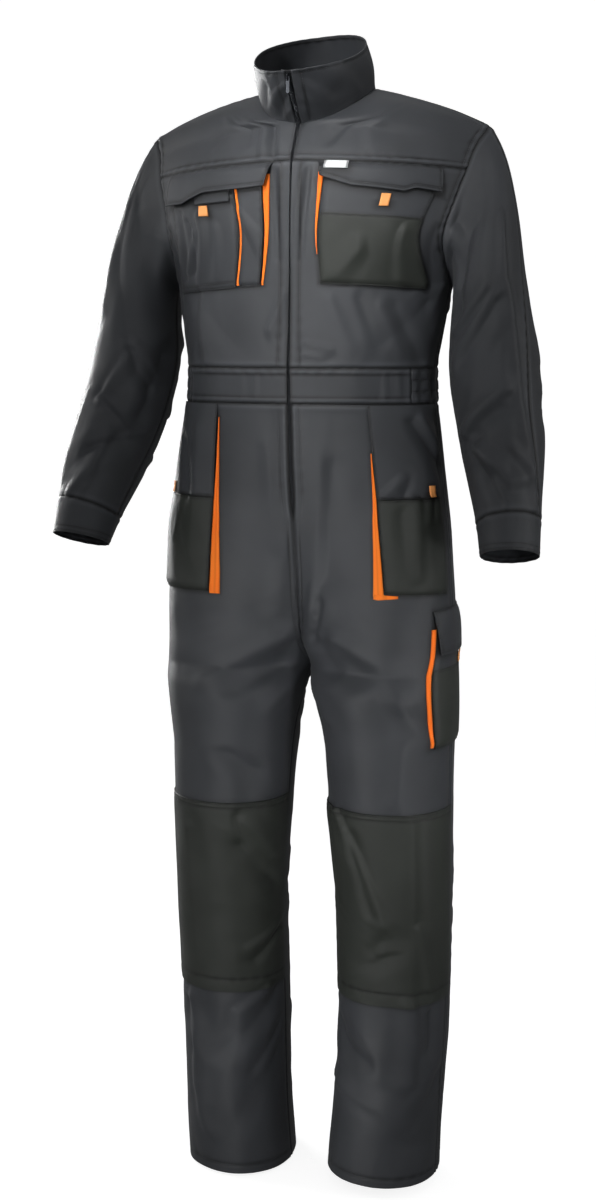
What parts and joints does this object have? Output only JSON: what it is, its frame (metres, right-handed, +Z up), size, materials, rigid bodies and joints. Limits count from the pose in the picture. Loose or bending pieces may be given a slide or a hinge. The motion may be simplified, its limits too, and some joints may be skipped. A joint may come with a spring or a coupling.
{
  "type": "boiler suit",
  "caption": "Long-sleeved work boiler suit, worn form with nobody in it: stand collar, zip front, chest, hip and thigh pockets, knee patches, elastic back waist.",
  "frame": {"origin": "midway between the sides of the neck, at the height of the neck points, where the wearer's shoulders hold the suit up", "axes": "+Z up, towards the collar; front towards -Y; the wearer's left towards +X"},
  "size_m": [0.6702, 0.2979, 1.5824],
  "materials": {
    "main_twill": "matte grey polyester-cotton twill with a slight sheen",
    "dark_oxford": "matte olive-black oxford weave",
    "orange_poplin": "matte orange plain weave",
    "white_tape": "matte white woven tape, blank",
    "zip_tape": "matte dark woven tape",
    "zip_metal": "dark lacquered metal"
  },
  "bodies": {
    "suit": {"back_left": "main_twill", "back_right": "main_twill", "cargo_bellows_left": "orange_poplin", "cargo_flap_left": "main_twill", "cargo_patch_left": "dark_oxford", "cargo_pocket_left": "main_twill", "cargo_tab_left": "orange_poplin", "chest_bellows_left": "orange_poplin", "chest_bellows_right": "orange_poplin", "chest_flap_left": "main_twill", "chest_flap_right": "main_twill", "chest_patch_left": "dark_oxford", "chest_pocket_left": "main_twill", "chest_pocket_right": "main_twill", "chest_tab_left": "orange_poplin", "chest_tab_right": "orange_poplin", "collar": "main_twill", "cuff_left": "main_twill", "cuff_right": "main_twill", "front_left": "main_twill", "front_right": "main_twill", "hip_bellows_left": "orange_poplin", "hip_bellows_right": "orange_poplin", "hip_patch_left": "dark_oxford", "hip_patch_right": "dark_oxford", "hip_pocket_left": "main_twill", "hip_pocket_right": "main_twill", "hip_tab_left": "orange_poplin", "hip_tab_right": "orange_poplin", "knee_patch_left": "dark_oxford", "knee_patch_right": "dark_oxford", "label_left": "white_tape", "leg_back_left": "main_twill", "leg_back_right": "main_twill", "leg_front_left": "main_twill", "leg_front_right": "main_twill", "pen_bellows_right": "orange_poplin", "pen_pocket_right": "main_twill", "sleeve_back_left": "main_twill", "sleeve_back_right": "main_twill", "sleeve_front_left": "main_twill", "sleeve_front_right": "main_twill", "small_flap_right": "main_twill", "waistband_back": "main_twill", "waistband_left": "main_twill", "waistband_right": "main_twill", "yoke_left": "main_twill", "yoke_right": "main_twill", "zip_slider": "zip_metal", "zip_tape": "zip_tape"},
    "zip_pull": {"zip_pull": "zip_metal"}
  },
  "joints": [
    {"name": "zip_pull_swing", "type": "hinge", "parent": "suit", "child": "zip_pull", "pos_m": [0, -0.10142, -0.0054], "axis": [1, 0, 0], "range_deg": [-135, 30]}
  ]
}
